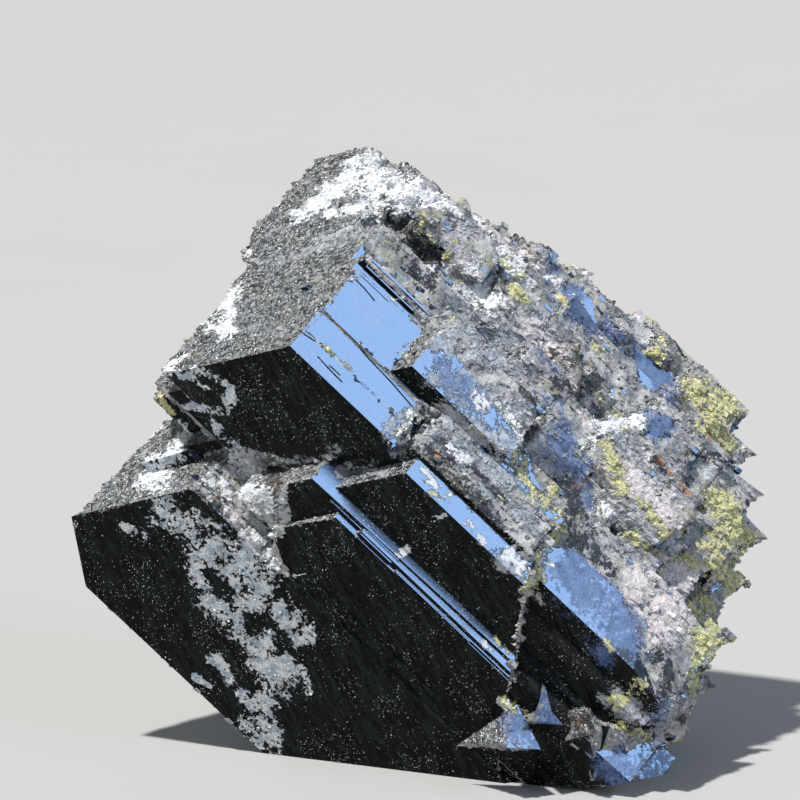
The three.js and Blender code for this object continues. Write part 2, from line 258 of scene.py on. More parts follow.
# Where narrow steps that face like bright faces are dull, by outline over the photograph.
DULL_STEPS = [
    [(276, 562), (300, 566), (400, 650), (520, 764), (520, 800), (440, 800), (276, 596)],
    [(519, 594), (540, 604), (660, 706), (640, 734), (580, 734), (512, 684)],
]

# Thin bright laths that stand on the faces: where one starts, how long it is along the
# growth and how wide, in pixels.
LATHS = [
    ((372, 260), 76, 2.2), ((366, 266), 66, 1.4), ((379, 256), 60, 1.2), ((360, 274), 40, 1.2),
    ((361, 534), 42, 2.0), ((367, 531), 44, 1.4), ((372, 528), 46, 1.0),
    ((396, 572), 58, 1.8), ((438, 612), 44, 1.4), ((330, 500), 60, 1.0), ((344, 516), 70, 1.2),
]
LATH_HEIGHT = 0.11 * MM

# Whitish grains along edges, partly worn crust and partly painted edge highlights: the grains' size
# in millimetres and the edge's pixels.
EDGE_GRAINS_AND_HIGHLIGHTS = [
    (0.10, (335, 518), (306, 522), (281, 527), (273, 549), (276, 561), (291, 575)),
    (0.10, (287, 590), (292, 603), (303, 615)),
    (0.12, (192, 489), (208, 498), (218, 512), (232, 524)),
    (0.20, (525, 586), (522, 608), (517, 640), (516, 664), (508, 690)),
    (0.08, (302, 334), (318, 318), (345, 286)),
    (0.16, (318, 294), (332, 286), (350, 280), (362, 276)),
    (0.14, (388, 443), (397, 430), (408, 420), (420, 408)),
    (0.12, (398, 353), (406, 344), (420, 338), (432, 350)),
    (0.10, (350, 472), (372, 470), (404, 472)), (0.10, (285, 484), (300, 480), (312, 478)),
    (0.16, (600, 462), (598, 496), (605, 541)),
    (0.10, (632, 660), (652, 658), (670, 648), (686, 630)),
    (0.18, (76, 522), (72, 534), (80, 560)), (0.08, (101, 512), (140, 500), (188, 488)),
    (0.05, (174, 371), (220, 362), (286, 347)), (0.14, (468, 424), (500, 446), (528, 474)),
]

# The fine cracks in the leading crystal's bright face, as pixels of the photograph.
CRACKS = [
    [(301, 332), (313, 340), (322, 344), (334, 354)],
    [(322, 308), (335, 323), (347, 334), (369, 359), (391, 382), (410, 404)],
    [(355, 279), (364, 288), (374, 300)],
    [(318, 357), (330, 370), (342, 382)],
    [(330, 366), (340, 375)],
]
CRACK_HALF_WIDTH = 0.055 * MM
CRACK_DEPTH = 0.12 * MM

# Rows of points follow each crack, this many half widths from its middle.
CRACK_ROWS = (-2.2, -1.0, 0.0, 1.0, 2.2)

# How the solid's surface is cut up: how long an edge may be on the facets that turn towards
# the photograph's eye, on the others, and beside a crack.
SEEN_EDGE = 0.225 * MM
UNSEEN_EDGE = 0.45 * MM
CRACK_EDGE = 0.045 * MM

# A facet turns towards the eye where its normal reaches at least this far that way.
SEEN_FROM = -0.05

# How the points that fill a facet lie, in shares of the gap between them: how far apart their
# rows are, how far they are moved about and how far they keep from the rim.
FILL_ROW = 0.87
FILL_SHIFT = 0.12
FILL_MARGIN = 0.6

# How many points are compared with others at once.
AT_ONCE = 4000

# The leading crystal's bright face, which no small crystal stands on.
LEADING_FACE = [(284, 350), (352, 268), (430, 336), (404, 366), (420, 404), (388, 446)]

# A small three-sided crystal tip at the bottom right: its top and the two ends of its foot,
# where its corner is, how far that stands out, how deep the foot goes and how much painted blue
# sky reflection it has.
TIP_OUTLINE = [(543, 680), (532, 723), (568, 726)]
TIP_CORNER = (537, 720)
TIP_HEIGHT = 1.1 * MM
TIP_ROOT = 0.3 * MM
TIP_PAINTED_BLUE_REFLECTION = 0.8

# How many times the rough stretches are smoothed, at these columns of the photograph: little
# in the sharp part of the growth and most at the right-hand rim.
WEAR_COLUMNS = (540, 580, 670, 730)
WEAR_ROUNDS = (9, 26, 26, 64)

# Nothing is smoothed below this height, so that the base stays flat.
UNWORN_BELOW = 0.2 * MM


def make_camera():
    """A long lens at the photograph's place and angle."""
    data = bpy.data.cameras.new("camera")
    data.sensor_width = SENSOR
    data.lens = SENSOR * CAMERA_DISTANCE / (PHOTO_SIZE * PIXEL)
    camera = bpy.data.objects.new("camera", data)
    camera.matrix_world = Matrix.Translation(CAMERA_PLACE) @ Matrix(
        (RIGHT, UP, TOWARDS)).transposed().to_4x4()
    bpy.context.scene.collection.objects.link(camera)
    bpy.context.scene.camera = camera


def solid_facets():
    """The solid as a bmesh whose flat facets are whole."""
    same_place = 0.002 * MM
    nearly_flat = math.radians(0.5)
    mesh = bmesh.new()
    mesh.from_mesh(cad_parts[NODE].data)
    bmesh.ops.remove_doubles(mesh, verts=mesh.verts, dist=same_place)
    bmesh.ops.dissolve_limit(
        mesh, angle_limit=nearly_flat, verts=mesh.verts, edges=mesh.edges)
    mesh.normal_update()
    for parts in (mesh.verts, mesh.edges, mesh.faces):
        parts.index_update()
    return mesh


def triangle_normals(places, corners):
    """Each triangle's normal, as long as twice its area."""
    first, second, third = (places[corners[:, i]] for i in range(3))
    return np.cross(second - first, third - first)


def unit(vectors):
    """The vectors made one long."""
    return vectors / np.maximum(np.linalg.norm(vectors, axis=-1, keepdims=True), 1e-30)


def facet_kind(normal):
    """Whether a facet is a bright, shaded or end face, or a broken one."""
    near_enough = math.cos(math.radians(25))
    likeness = np.abs(FACE_NORMALS @ np.array(normal))
    return int(likeness.argmax()) if likeness.max() > near_enough else BROKEN


class Eye:
    """What the photograph's eye meets on the solid."""

    def __init__(self, facets):
        self.tree = BVHTree.FromBMesh(facets)

    def meets(self, pixel):
        """Where the line of sight through a pixel meets the solid, or None."""
        on_picture = LEADING_CORNER + in_picture(
            (pixel[0] - CORNER_PIXEL[0]) * PIXEL, (CORNER_PIXEL[1] - pixel[1]) * PIXEL, 0)
        place, _, _, _ = self.tree.ray_cast(CAMERA_PLACE, (on_picture - CAMERA_PLACE).normalized())
        return place

    def traced(self, line, step=2.0):
        """The points where a line over the photograph meets the solid."""
        pixels = [line[0]]
        for start, end in zip(line, line[1:]):
            count = max(1, round(math.dist(start, end) / step))
            pixels.extend(np.linspace(start, end, count + 1)[1:])
        met = [self.meets(pixel) for pixel in pixels]
        return np.array([place for place in met if place])

    def pixels(self, places):
        """Where places are in the photograph."""
        offset = places - np.array(CAMERA_PLACE)
        depth = -offset @ np.array(TOWARDS)
        scale = CAMERA_DISTANCE / depth / PIXEL
        return np.stack([HALF_PICTURE + offset @ np.array(RIGHT) * scale,
                         HALF_PICTURE - offset @ np.array(UP) * scale], axis=1)

    def sees(self, places):
        """Which places have nothing between them and the eye."""
        clear = 0.05 * MM
        seen = np.zeros(len(places), bool)
        for i, place in enumerate(places.tolist()):
            sight = CAMERA_PLACE - Vector(place)
            start = Vector(place) + sight.normalized() * clear
            seen[i] = self.tree.ray_cast(start, sight.normalized())[0] is None
        return seen


def nearest(points, others):
    """How far each point is from the nearest of the others."""
    distance = np.zeros(len(points))
    for part in np.array_split(np.arange(len(points)), len(points) // AT_ONCE + 1):
        distance[part] = np.linalg.norm(points[part, None] - others[None], axis=2).min(1)
    return distance


def within(pixels, outlines):
    """Which pixels lie inside any of the outlines."""
    inside = np.zeros(len(pixels), bool)
    for outline in outlines:
        inside |= inside_rim(pixels, np.array(outline, float))
    return inside


def near_line(places, dots, reach):
    """1 on the line through the dots, falling to 0 at the reach and beyond it."""
    value = np.zeros(len(places))
    inside = (places > dots.min(0) - reach) & (places < dots.max(0) + reach)
    near = inside.all(1)
    value[near] = np.maximum(1 - nearest(places[near], dots) / reach, 0)
    return value


def rims_cut(facets, spacing):
    """The corners of the cut-up edges, and each facet's rim as the numbers of its corners."""
    places = [vertex.co.copy() for vertex in facets.verts]
    along = []
    for edge in facets.edges:
        limit = min(spacing[face.index] for face in edge.link_faces)
        parts = max(1, math.ceil(edge.calc_length() / limit))
        start, end = edge.verts
        between = range(len(places), len(places) + parts - 1)
        places += [start.co.lerp(end.co, i / parts) for i in range(1, parts)]
        along.append([start.index, *between, end.index])
    rims = []
    for face in facets.faces:
        rim = []
        for loop in face.loops:
            numbers = along[loop.edge.index]
            forwards = numbers[0] == loop.vert.index
            rim += numbers[:-1] if forwards else numbers[:0:-1]
        rims.append(rim)
    return places, rims


def inside_rim(points, rim):
    """Which points lie inside a closed line, all in the plane."""
    inside = np.zeros(len(points), bool)
    for start, end in zip(rim, np.roll(rim, -1, axis=0)):
        if start[1] == end[1]:
            continue
        level = (start[1] > points[:, 1]) != (end[1] > points[:, 1])
        share = (points[:, 1] - start[1]) / (end[1] - start[1])
        inside ^= level & (points[:, 0] < start[0] + share * (end[0] - start[0]))
    return inside


def filling(rim, gap, cracks):
    """Points spread evenly inside a rim, in the plane, with close rows of them along cracks."""
    low, high = rim.min(0), rim.max(0)
    columns, rows = np.meshgrid(
        np.arange(low[0], high[0], gap), np.arange(low[1], high[1], gap * FILL_ROW))
    columns[1::2] += gap / 2
    points = np.stack([columns.ravel(), rows.ravel()], axis=1)
    points += random.uniform(-FILL_SHIFT, FILL_SHIFT, points.shape) * gap
    points = points[nearest(points, rim) > gap * FILL_MARGIN]
    apart = CRACK_EDGE / MM
    for crack in cracks:
        points = points[nearest(points, crack) > apart]
        points = np.vstack([points, crack[nearest(crack, rim) > apart]])
    return points[inside_rim(points, rim)]


def finely_cut(facets, spacing, cracks):
    """Every flat facet cut into even triangles: their corners, and each triangle's facet."""
    on_facet = 0.02 * MM
    triangles_inside, same_point = 1, 1e-6
    places, rims = rims_cut(facets, spacing)
    corners = []
    owners = []
    for face, rim in zip(facets.faces, rims):
        right = face.normal.orthogonal().normalized()
        up = face.normal.cross(right)
        middle = face.calc_center_median()
        plane = np.array([right, up]).T / MM
        flat_rim = np.array([places[i] - middle for i in rim]) @ plane
        offsets = [crack - np.array(middle) for crack in cracks]
        on_it = [offset @ plane for offset in offsets
                 if np.abs(offset @ np.array(face.normal)).min() < on_facet]
        inner = filling(flat_rim, spacing[face.index] / MM, on_it)
        points = np.vstack([flat_rim, inner]).tolist()
        found, _, triangles, sources, _, _ = delaunay_2d_cdt(
            [Vector(point) for point in points], [], [list(range(len(rim)))],
            triangles_inside, same_point)
        numbers = []
        for point, source in zip(found, sources):
            if source and source[0] < len(rim):
                numbers.append(rim[source[0]])
            else:
                numbers.append(len(places))
                places.append(middle + (right * point.x + up * point.y) * MM)
        corners += [[numbers[i] for i in triangle] for triangle in triangles]
        owners += [face.index] * len(triangles)
    return np.array(places), np.array(corners), np.array(owners)


def fractal(places, size, octaves=3):
    """Noise of about -1 to 1 at each place, with features of a given size."""
    return np.array([noise.fractal(place, 1.0, 2.0, octaves) for place in (places / size).tolist()])


class Coverings:
    """The layers over the crystals, painted blue reflection and painted shade among them: how much
    of each there is at a place.
    """

    # A stroke fades out at this many times its half width. Its dots are moved about by a share
    # of its half width, less where it is narrow.
    SOFT_EDGE = 1.55
    NARROW = 5
    NARROW_SPREAD = 0.10
    BROAD_SPREAD = 0.42

    # Where the photograph doesn't look, each layer lies in patches of noise: their size, and
    # what the noise is raised and then multiplied by. Each layer has noise from elsewhere.
    UNSEEN = {
        "frost": (4.5 * MM, 0.05, 1.2),
        # Painted blue sky reflection, in patches.
        "blue": (3.0 * MM, -0.32, 1.0),
        "mauve": (4.2 * MM, -0.16, 1.1),
        # Black crystal with painted shade, in patches.
        "dark": (2.6 * MM, -0.35, 1.0),
        "rust": (2.2 * MM, -0.50, 1.0),
        "yellow_green": (3.8 * MM, -0.26, 1.5),
        "pale": (3.6 * MM, -0.18, 1.5),
    }
    ELSEWHERE = 40 * MM

    def __init__(self, eye):
        self.eye = eye
        self.lines = {
            name: [(self.scattered(eye.traced(line), width), width) for width, *line in strokes]
            for name, strokes in LAYERS.items()}

    def scattered(self, dots, width):
        """A stroke's dots moved about, so that a broad stroke ends in lobes and not in a band."""
        spread = self.NARROW_SPREAD if width < self.NARROW else self.BROAD_SPREAD
        return dots + random.normal(0, spread * width * PIXEL, dots.shape)

    def at(self, places):
        """Each layer's amount, 0 to 1, at each place."""
        hidden = np.flatnonzero(~self.eye.sees(places))
        amounts = {}
        for number, (name, lines) in enumerate(self.lines.items()):
            amount = np.zeros(len(places))
            for dots, width in lines:
                reach = width * PIXEL * self.SOFT_EDGE
                amount = np.maximum(amount, near_line(places, dots, reach))
            size, level, gain = self.UNSEEN[name]
            shifted = places[hidden] + self.ELSEWHERE * (number + 1)
            patches = np.clip((fractal(shifted, size) + level) * gain, 0, 1)
            amount[hidden] = np.maximum(amount[hidden], patches)
            amounts[name] = amount
        return amounts


def write_layers(mesh, amounts):
    """The layers' amounts as attributes of the mesh's vertices."""
    for name, amount in amounts.items():
        attribute = mesh.attributes.new(name, "FLOAT", "POINT")
        attribute.data.foreach_set("value", amount.astype(np.float32))


def inside_box(places):
    """The places kept inside the solid's own box."""
    return np.clip(places, np.array(CAD_BOX[0]), np.array(CAD_BOX[1]))


def new_mesh(name, places, faces, materials, kinds, smooth_angle=None):
    """A mesh object from its corners and faces, and the number of each face's material. It is
    smooth where its faces meet at less than the angle."""
    mesh = bpy.data.meshes.new(name)
    mesh.from_pydata(places, [], faces)
    for material in materials:
        mesh.materials.append(material)
    mesh.polygons.foreach_set("material_index", np.asarray(kinds, np.int32))
    mesh.validate()
    if smooth_angle is not None:
        mesh.shade_smooth()
        mesh.set_sharp_from_angle(angle=smooth_angle)
    thing = bpy.data.objects.new(name, mesh)
    bpy.context.scene.collection.objects.link(thing)
    return thing


class Look:
    """A material's nodes, built up from the part's own coordinates in millimetres."""

    SOCKETS = {"ior": "IOR", "shine": "Specular IOR Level", "tint": "Specular Tint"}

    def __init__(self, name):
        self.material = bpy.data.materials.new(name)
        self.material.use_nodes = True
        self.tree = self.material.node_tree
        self.shader = self.tree.nodes["Principled BSDF"]
        place = self.node("TexCoord").outputs["Object"]
        self.place = self.vector("MULTIPLY", place, (1 / MM, 1 / MM, 1 / MM))

    def link(self, value, socket):
        """Sets a socket to a number, a colour or another node's output."""
        if isinstance(value, bpy.types.NodeSocket):
            self.tree.links.new(value, socket)
        elif isinstance(value, tuple) and len(value) == 3 and socket.type == "RGBA":
            socket.default_value = (*value, 1)
        else:
            socket.default_value = value

    def fill(self, sockets, values):
        """Sets sockets to values in their order."""
        for socket, value in zip(sockets, values):
            self.link(value, socket)

    def node(self, kind, **values):
        """A new node of a kind, with its named inputs set."""
        node = self.tree.nodes.new("ShaderNode" + kind)
        self.fill([node.inputs[name] for name in values], values.values())
        return node

    def vector(self, operation, a, b):
        """A vector sum of two vectors, or their dot product."""
        node = self.node("VectorMath")
        node.operation = operation
        self.fill(node.inputs, (a, b))
        return node.outputs["Value" if operation == "DOT_PRODUCT" else "Vector"]

    def maths(self, operation, a, b, clamp=False):
        """A sum of two numbers."""
        node = self.node("Math")
        node.operation = operation
        node.use_clamp = clamp
        self.fill(node.inputs, (a, b))
        return node.outputs[0]

    def span(self, value, low, high, start=0.0, end=1.0, smooth=True):
        """The value taken from low..high to start..end."""
        node = self.node("MapRange")
        node.interpolation_type = "SMOOTHSTEP" if smooth else "LINEAR"
        self.fill(node.inputs, (value, low, high, start, end))
        return node.outputs[0]

    def noise(self, size, detail, roughness, place=None):
        """Noise, 0 to 1, with features of about the size in millimetres."""
        place = self.place if place is None else place
        node = self.node(
            "TexNoise", Vector=place, Scale=1 / size, Detail=detail, Roughness=roughness)
        return node.outputs["Fac"]

    def grains(self, size, output="Distance"):
        """Grains of the size in millimetres: the distance from the middle of the nearest one,
        or, as the output Color, a tone of its own for each."""
        return self.node("TexVoronoi", Vector=self.place, Scale=1 / size).outputs[output]

    def mix(self, share, a, b):
        """One colour or number turning into another."""
        node = self.node("Mix")
        colours = any(isinstance(v, tuple) or getattr(v, "type", "") == "RGBA" for v in (a, b))
        node.data_type = "RGBA" if colours else "FLOAT"
        self.fill([socket for socket in node.inputs if socket.enabled], (share, a, b))
        return next(socket for socket in node.outputs if socket.enabled)

    def attribute(self, name):
        """A layer's amount on the mesh."""
        node = self.node("Attribute")
        node.attribute_name = name
        return node.outputs["Fac"]

    def along_growth(self, wide, long):
        """The place in the lattice's directions, drawn out along the growth."""
        axes = (ACROSS / wide, RISE / wide, ALONG / long)
        node = self.node("CombineXYZ")
        parts = [self.vector("DOT_PRODUCT", self.place, tuple(axis)) for axis in axes]
        self.fill(node.inputs, parts)
        return node.outputs[0]

    def finish(self, colour, roughness, height, depth):
        """Joins a colour, a roughness and a bump, its depth in millimetres, to the shader."""
        bump = self.node("Bump", Strength=1.0, Distance=depth * MM, Height=height)
        self.link(colour, self.shader.inputs["Base Color"])
        self.link(roughness, self.shader.inputs["Roughness"])
        self.link(bump.outputs["Normal"], self.shader.inputs["Normal"])

    def fixed(self, **values):
        """Numbers and colours that are the same all over, on the shader's own sockets."""
        for word, value in values.items():
            self.link(value, self.shader.inputs[self.SOCKETS[word]])


# The tints in the jumbled growth: olive, mauve grey, dark and pale.
GROWTH_TINTS = [(0.36, 0.36, 0.24), (0.46, 0.43, 0.46), (0.07, 0.08, 0.10), (0.62, 0.63, 0.62)]

# Each layer's look: two colours that it varies between, its roughness, how far it stands up,
# in millimetres, and how softly it ends.
LAYER_LOOKS = {
    "frost": ((0.52, 0.55, 0.60), (0.18, 0.195, 0.225), 0.42, 0.02, 0.5),
    # Painted blue sky reflection.
    "blue": ((0.15, 0.22, 0.43), (0.05, 0.08, 0.18), 0.46, 0.0, 0.6),
    "mauve": ((0.80, 0.75, 0.77), (0.50, 0.46, 0.49), 0.60, 0.01, 0.5),
    # Black crystal, with painted shade in hollows and crevices.
    "dark": ((0.008, 0.009, 0.008), (0.016, 0.015, 0.013), 0.5, 0.0, 0.4),
    "rust": ((0.62, 0.30, 0.14), (0.30, 0.13, 0.06), 0.6, 0.02, 0.4),
    "yellow_green": ((0.78, 0.75, 0.47), (0.40, 0.41, 0.20), 0.6, 0.04, 0.3),
    "pale": ((0.88, 0.90, 0.92), (0.56, 0.60, 0.66), 0.75, 0.05, 0.12),
}

# Sizes in the materials, in millimetres: the etched grains, the ragged ends of the layers,
# wider unevenness of the same, shades within a layer, tints, and streaks across and along.
GRAIN_SIZE = 0.16
RAGGED_SIZE = 0.30
PATCHY_SIZE = 1.3
SHADE_SIZE = 0.7
TINT_SIZE = 2.4
STREAK_SIZE = (1.0, 7.0)

# The amount of a layer at which it ends, on the whole, and where it has surely ended.
LAYER_ENDS = 0.42
LAYER_GONE = 0.1


def tinted(look, colour):
    """The colour with patches of the growth's tints over it."""
    for number, tint in enumerate(GROWTH_TINTS):
        elsewhere = look.vector("ADD", look.place, (17.0 * (number + 1), 0.0, 0.0))
        patch = look.noise(TINT_SIZE, 4.0, 0.6, elsewhere)
        colour = look.mix(look.span(patch, 0.50, 0.64, 0.0, 0.6), colour, tint)
    return colour


def crystal_look(name, deep, light, blotch, roughness, ground_bump, pale_colours_in_painted_shade=None,
                 tints=False, streaks=False, grainy=0.35):
    """A crystal face's material: dark crystal in blotches under the layers that lie on it, painted
    blue reflection and painted shade among them.
    """
    look = Look(name)
    ragged = look.noise(RAGGED_SIZE, 6.0, 0.65)
    patchy = look.noise(PATCHY_SIZE, 3.0, 0.6)
    unevenness = look.maths("ADD", look.span(ragged, 0.33, 0.67, -0.50, 0.42, False),
                            look.span(patchy, 0.33, 0.67, -0.45, 0.35, False))
    where = look.along_growth(*STREAK_SIZE) if streaks else None
    blotches = look.span(look.noise(blotch, 6.0, 0.62, where), 0.40, 0.68, 0.0, 1.05 - grainy)
    each_grain = look.span(look.grains(GRAIN_SIZE, "Color"), 0.46, 0.74, 0.0, grainy)
    colour = look.mix(look.maths("ADD", blotches, each_grain, True), deep, light)
    if tints:
        colour = tinted(look, colour)
    rough = look.mix(look.span(ragged, 0.3, 0.7), *roughness)
    height = ground_bump(look)
    shades = look.maths("ADD", look.span(look.grains(GRAIN_SIZE), 0.1, 0.7, 0.0, 0.5),
                        look.span(look.noise(SHADE_SIZE, 4.0, 0.65), 0.38, 0.62, 0.0, 0.6), True)
    for layer, (first, second, layer_rough, stands, softness) in LAYER_LOOKS.items():
        # On the shaded faces the pale layer takes colours with painted shade.
        if layer == "pale" and pale_colours_in_painted_shade:
            first, second = pale_colours_in_painted_shade
        amount = look.attribute(layer)
        present = look.span(amount, 0.0, LAYER_GONE)
        share = look.span(look.maths("ADD", amount, unevenness),
                          LAYER_ENDS - softness / 2, LAYER_ENDS + softness / 2)
        share = look.maths("MULTIPLY", share, present)
        colour = look.mix(share, colour, look.mix(shades, first, second))
        rough = look.mix(share, rough, layer_rough)
        if stands:
            height = look.maths("ADD", height, look.maths("MULTIPLY", share, stands))
    look.finish(colour, rough, height, 1.0)
    return look


def striated(wide, depth):
    """A bump of fine lines along the growth."""
    def build(look):
        lines = look.noise(1.0, 4.0, 0.6, look.along_growth(wide, 6.0))
        return look.maths("MULTIPLY", lines, depth)
    return build


def grained(size, depth):
    """A bump of small crystal grains, with coarser ones among them."""
    coarser, deeper = 2.7, 1.6

    def build(look):
        fine = look.maths("MULTIPLY", look.grains(size), depth)
        coarse = look.maths("MULTIPLY", look.grains(size * coarser), depth * deeper)
        return look.maths("ADD", fine, coarse)
    return build


def bright_face():
    """The smooth glassy faces, which mirror a blue sky of a light, dark crystal with a painted blue
    reflection in their base colour and a blue tint on what they mirror.
    """
    look = crystal_look(
        "glassy_bright_face", (0.010, 0.016, 0.030), (0.016, 0.026, 0.050), 2.0,
        (0.09, 0.15), striated(0.05, 0.0035))
    # The blue of the base colours and the blue tint on reflections are painted sky reflection.
    look.fixed(ior=1.75, shine=1.0, tint=(0.55, 0.74, 1.0))
    return look.material


def shaded_face():
    """The long dark faces, striated along the growth, their pale crust tinted blue and darkened to
    a blue-grey as painted sky-lit shade.
    """
    look = crystal_look(
        "striated_dark_face", (0.002, 0.003, 0.003), (0.019, 0.023, 0.025), 0.45,
        # The pale crust's colours here: bluish white down to a painted blue-grey shade.
        (0.30, 0.5), striated(0.10, 0.02), ((0.94, 0.98, 1.0), (0.34, 0.40, 0.47)), streaks=True)
    look.fixed(ior=1.5, shine=0.06)
    return look.material


def end_face():
    """The etched end faces, made of fine sugary grains."""
    look = crystal_look(
        "etched_end_face", (0.014, 0.017, 0.021), (0.295, 0.32, 0.35), 0.8,
        (0.15, 0.42), grained(0.11, 0.06), grainy=0.72)
    look.fixed(ior=1.7, shine=0.8)
    return look.material


def broken_face():
    """The uneven breaks and the jumble of small crystals."""
    look = crystal_look(
        "broken_crystal", (0.045, 0.048, 0.050), (0.42, 0.42, 0.41), 0.9,
        (0.28, 0.55), grained(0.16, 0.06), tints=True)
    look.fixed(ior=1.7, shine=0.6)
    return look.material


def frosted_face():
    """Crystal faces dulled by fine growth, grey, with a painted blue sheen from a blue tint on
    their reflections.
    """
    look = crystal_look(
        "frosted_face", (0.12, 0.13, 0.15), (0.54, 0.55, 0.56), 1.2,
        (0.28, 0.5), grained(0.14, 0.03), tints=True)
    # The blue tint is painted sky sheen.
    look.fixed(ior=1.7, shine=0.7, tint=(0.7, 0.82, 1.0))
    return look.material


def loose_look(name, first, second, size, roughness, depth):
    """A material for grains and crust: two colours in blotches over a fine bump."""
    smoother, finer = 0.7, 0.15
    look = Look(name)
    blotches = look.span(look.noise(size, 4.0, 0.6), 0.35, 0.65)
    colour = look.mix(blotches, first, second)
    rough = look.mix(blotches, roughness * smoother, roughness)
    look.finish(colour, rough, look.noise(size * finer, 4.0, 0.6), depth)
    return look.material


FACE_LOOKS = [bright_face(), shaded_face(), end_face(), broken_face(), frosted_face()]
DUST_LOOK = loose_look("pale_dust", (0.60, 0.64, 0.68), (0.86, 0.90, 0.95), 0.6, 0.30, 0.01)
CRUST_LOOK = loose_look("white_crust", (0.86, 0.89, 0.92), (0.62, 0.67, 0.72), 0.5, 0.75, 0.04)
CRUMB_LOOK = loose_look(
    "yellow_green_crust", (0.70, 0.67, 0.38), (0.38, 0.39, 0.17), 0.4, 0.6, 0.04)
# Pale chips along edges, partly worn crust and partly painted edge highlights.
EDGE_CHIP_AND_HIGHLIGHT_LOOK = loose_look("edge_chips_and_painted_highlights", (0.62, 0.62, 0.60), (0.22, 0.21, 0.20), 0.3, 0.45, 0.02)


class Skin:
    """The crystals' finely cut surface, with its kinds of face and its coverings."""

    # How far each kind of face is roughened, as broad and as fine relief, and their sizes.
    BROAD = np.array([0.0, 0.0, 0.035, 0.18, 0.16]) * MM
    FINE = np.array([0.0, 0.0, 0.050, 0.10, 0.07]) * MM
    BROAD_SIZE = 1.6 * MM
    FINE_SIZE = 0.45 * MM

    # How thick the crusts grow: the amount, doubled and more, at which each starts to stand
    # up, how far it then stands, and how far frost does.
    STEEPNESS = 2.2
    CRUSTS = {"pale": (0.7, 0.08 * MM), "yellow_green": (0.5, 0.12 * MM)}
    JUMBLE_HEIGHT = 0.03 * MM

    def __init__(self):
        solid = solid_facets()
        self.eye = Eye(solid)
        kinds = np.array([facet_kind(face.normal) for face in solid.faces])
        spacing = [SEEN_EDGE if face.normal.dot(TOWARDS) > SEEN_FROM else UNSEEN_EDGE
                   for face in solid.faces]
        self.cracks = [self.eye.traced(line, step=1.0) for line in CRACKS]
        self.flat, self.corners, self.facets = finely_cut(solid, spacing, self.crack_rows())
        self.kinds = kinds[self.facets]
        self.frost_faces()
        self.wear_round()
        solid.free()
        self.coverings = Coverings(self.eye)
        self.amounts = self.coverings.at(self.flat)
        self.places = inside_box(self.weathered())

    def over_triangles(self, of_corners):
        """A corner value averaged over each triangle."""
        return of_corners[self.corners].mean(1)

    def frost_faces(self):
        """Makes some parts frosted or dull, and most bright facets on the sides not seen."""
        middles = self.over_triangles(self.flat)
        pixels = self.eye.pixels(middles)
        seen = self.seen = self.eye.sees(middles)
        smooth = self.kinds <= SHADED
        dull = within(pixels, DULL_STEPS) & seen
        self.kinds = np.where(dull & (self.kinds == BRIGHT), SHADED, self.kinds)
        glassy = within(pixels, GLASSY) & (self.kinds == BRIGHT)
        frosted = within(pixels, FROSTED_PARTS) & ~glassy
        luck = random.random(self.facets.max() + 1)[self.facets] > GLASSY_SHARE_UNSEEN
        self.kinds = np.where(smooth & seen & frosted, FROSTED, self.kinds)
        self.kinds = np.where((self.kinds == BRIGHT) & ~seen & luck, FROSTED, self.kinds)

    def wear_round(self):
        """Rounds off the rough stretches and leaves the smooth faces and the base as they are."""
        halfway = 0.5
        places = self.flat.copy()
        rounds = np.interp(self.eye.pixels(places)[:, 0], WEAR_COLUMNS, WEAR_ROUNDS)
        free = (self.roughness() > 0) & (places[:, 2] > UNWORN_BELOW)
        ends = np.roll(self.corners, -1, axis=1).reshape(-1)
        starts = self.corners.reshape(-1)
        counts = np.maximum(np.bincount(starts, minlength=len(places)), 1)
        for number in range(max(WEAR_ROUNDS)):
            moved = free & (number < rounds)
            for axis in range(3):
                sums = np.bincount(starts, places[ends, axis], len(places))
                places[moved, axis] += halfway * (sums / counts - places[:, axis])[moved]
        self.flat = places

    def crack_rows(self):
        """Rows of points along each crack and on both its lips."""
        aside = np.array(BRIGHT_NORMAL.cross(ALONG))
        return [dots + aside * CRACK_HALF_WIDTH * steps
                for dots in self.cracks for steps in CRACK_ROWS]

    def vertex_normals(self):
        """The mean normal of the triangles at each corner."""
        normals = np.zeros_like(self.flat)
        each = triangle_normals(self.flat, self.corners)
        for side in range(3):
            np.add.at(normals, self.corners[:, side], each)
        return unit(normals)

    def least(self, of_triangles):
        """At each corner, the least value of the triangles round it."""
        value = np.full(len(self.flat), np.inf)
        for side in range(3):
            np.minimum.at(value, self.corners[:, side], of_triangles)
        return value

    def roughness(self):
        """1 at the corners where no smooth face meets, and 0 at the others."""
        return self.least(np.where(self.kinds <= SHADED, 0.0, 1.0))

    def weathered(self):
        """The surface roughened by kind of face, crusted where it is pale, and cracked."""
        crust_height, on_smooth, mauve_share = 0.6, 0.1, 0.7
        rough = self.roughness()
        fine_relief = fractal(self.flat, self.FINE_SIZE)
        height = self.least(self.BROAD[self.kinds]) * fractal(self.flat, self.BROAD_SIZE)
        height += self.least(self.FINE[self.kinds]) * fine_relief
        crust = sum(np.clip(self.amounts[layer] * self.STEEPNESS - start, 0, 1) * stands
                    for layer, (start, stands) in self.CRUSTS.items())
        height += crust * (crust_height + fine_relief) * (on_smooth + (1 - on_smooth) * rough)
        jumble = np.clip(self.amounts["frost"] + self.amounts["mauve"] * mauve_share, 0, 1)
        height += jumble * self.JUMBLE_HEIGHT * fine_relief * rough
        height -= self.cracked()
        return self.flat + self.vertex_normals() * height[:, None]

    def cracked(self):
        """How deep the cracks go at each corner of the surface."""
        depth = np.zeros(len(self.flat))
        for dots in self.cracks:
            depth = np.maximum(depth, near_line(self.flat, dots, CRACK_HALF_WIDTH))
        return np.minimum(depth * 2, 1) * CRACK_DEPTH

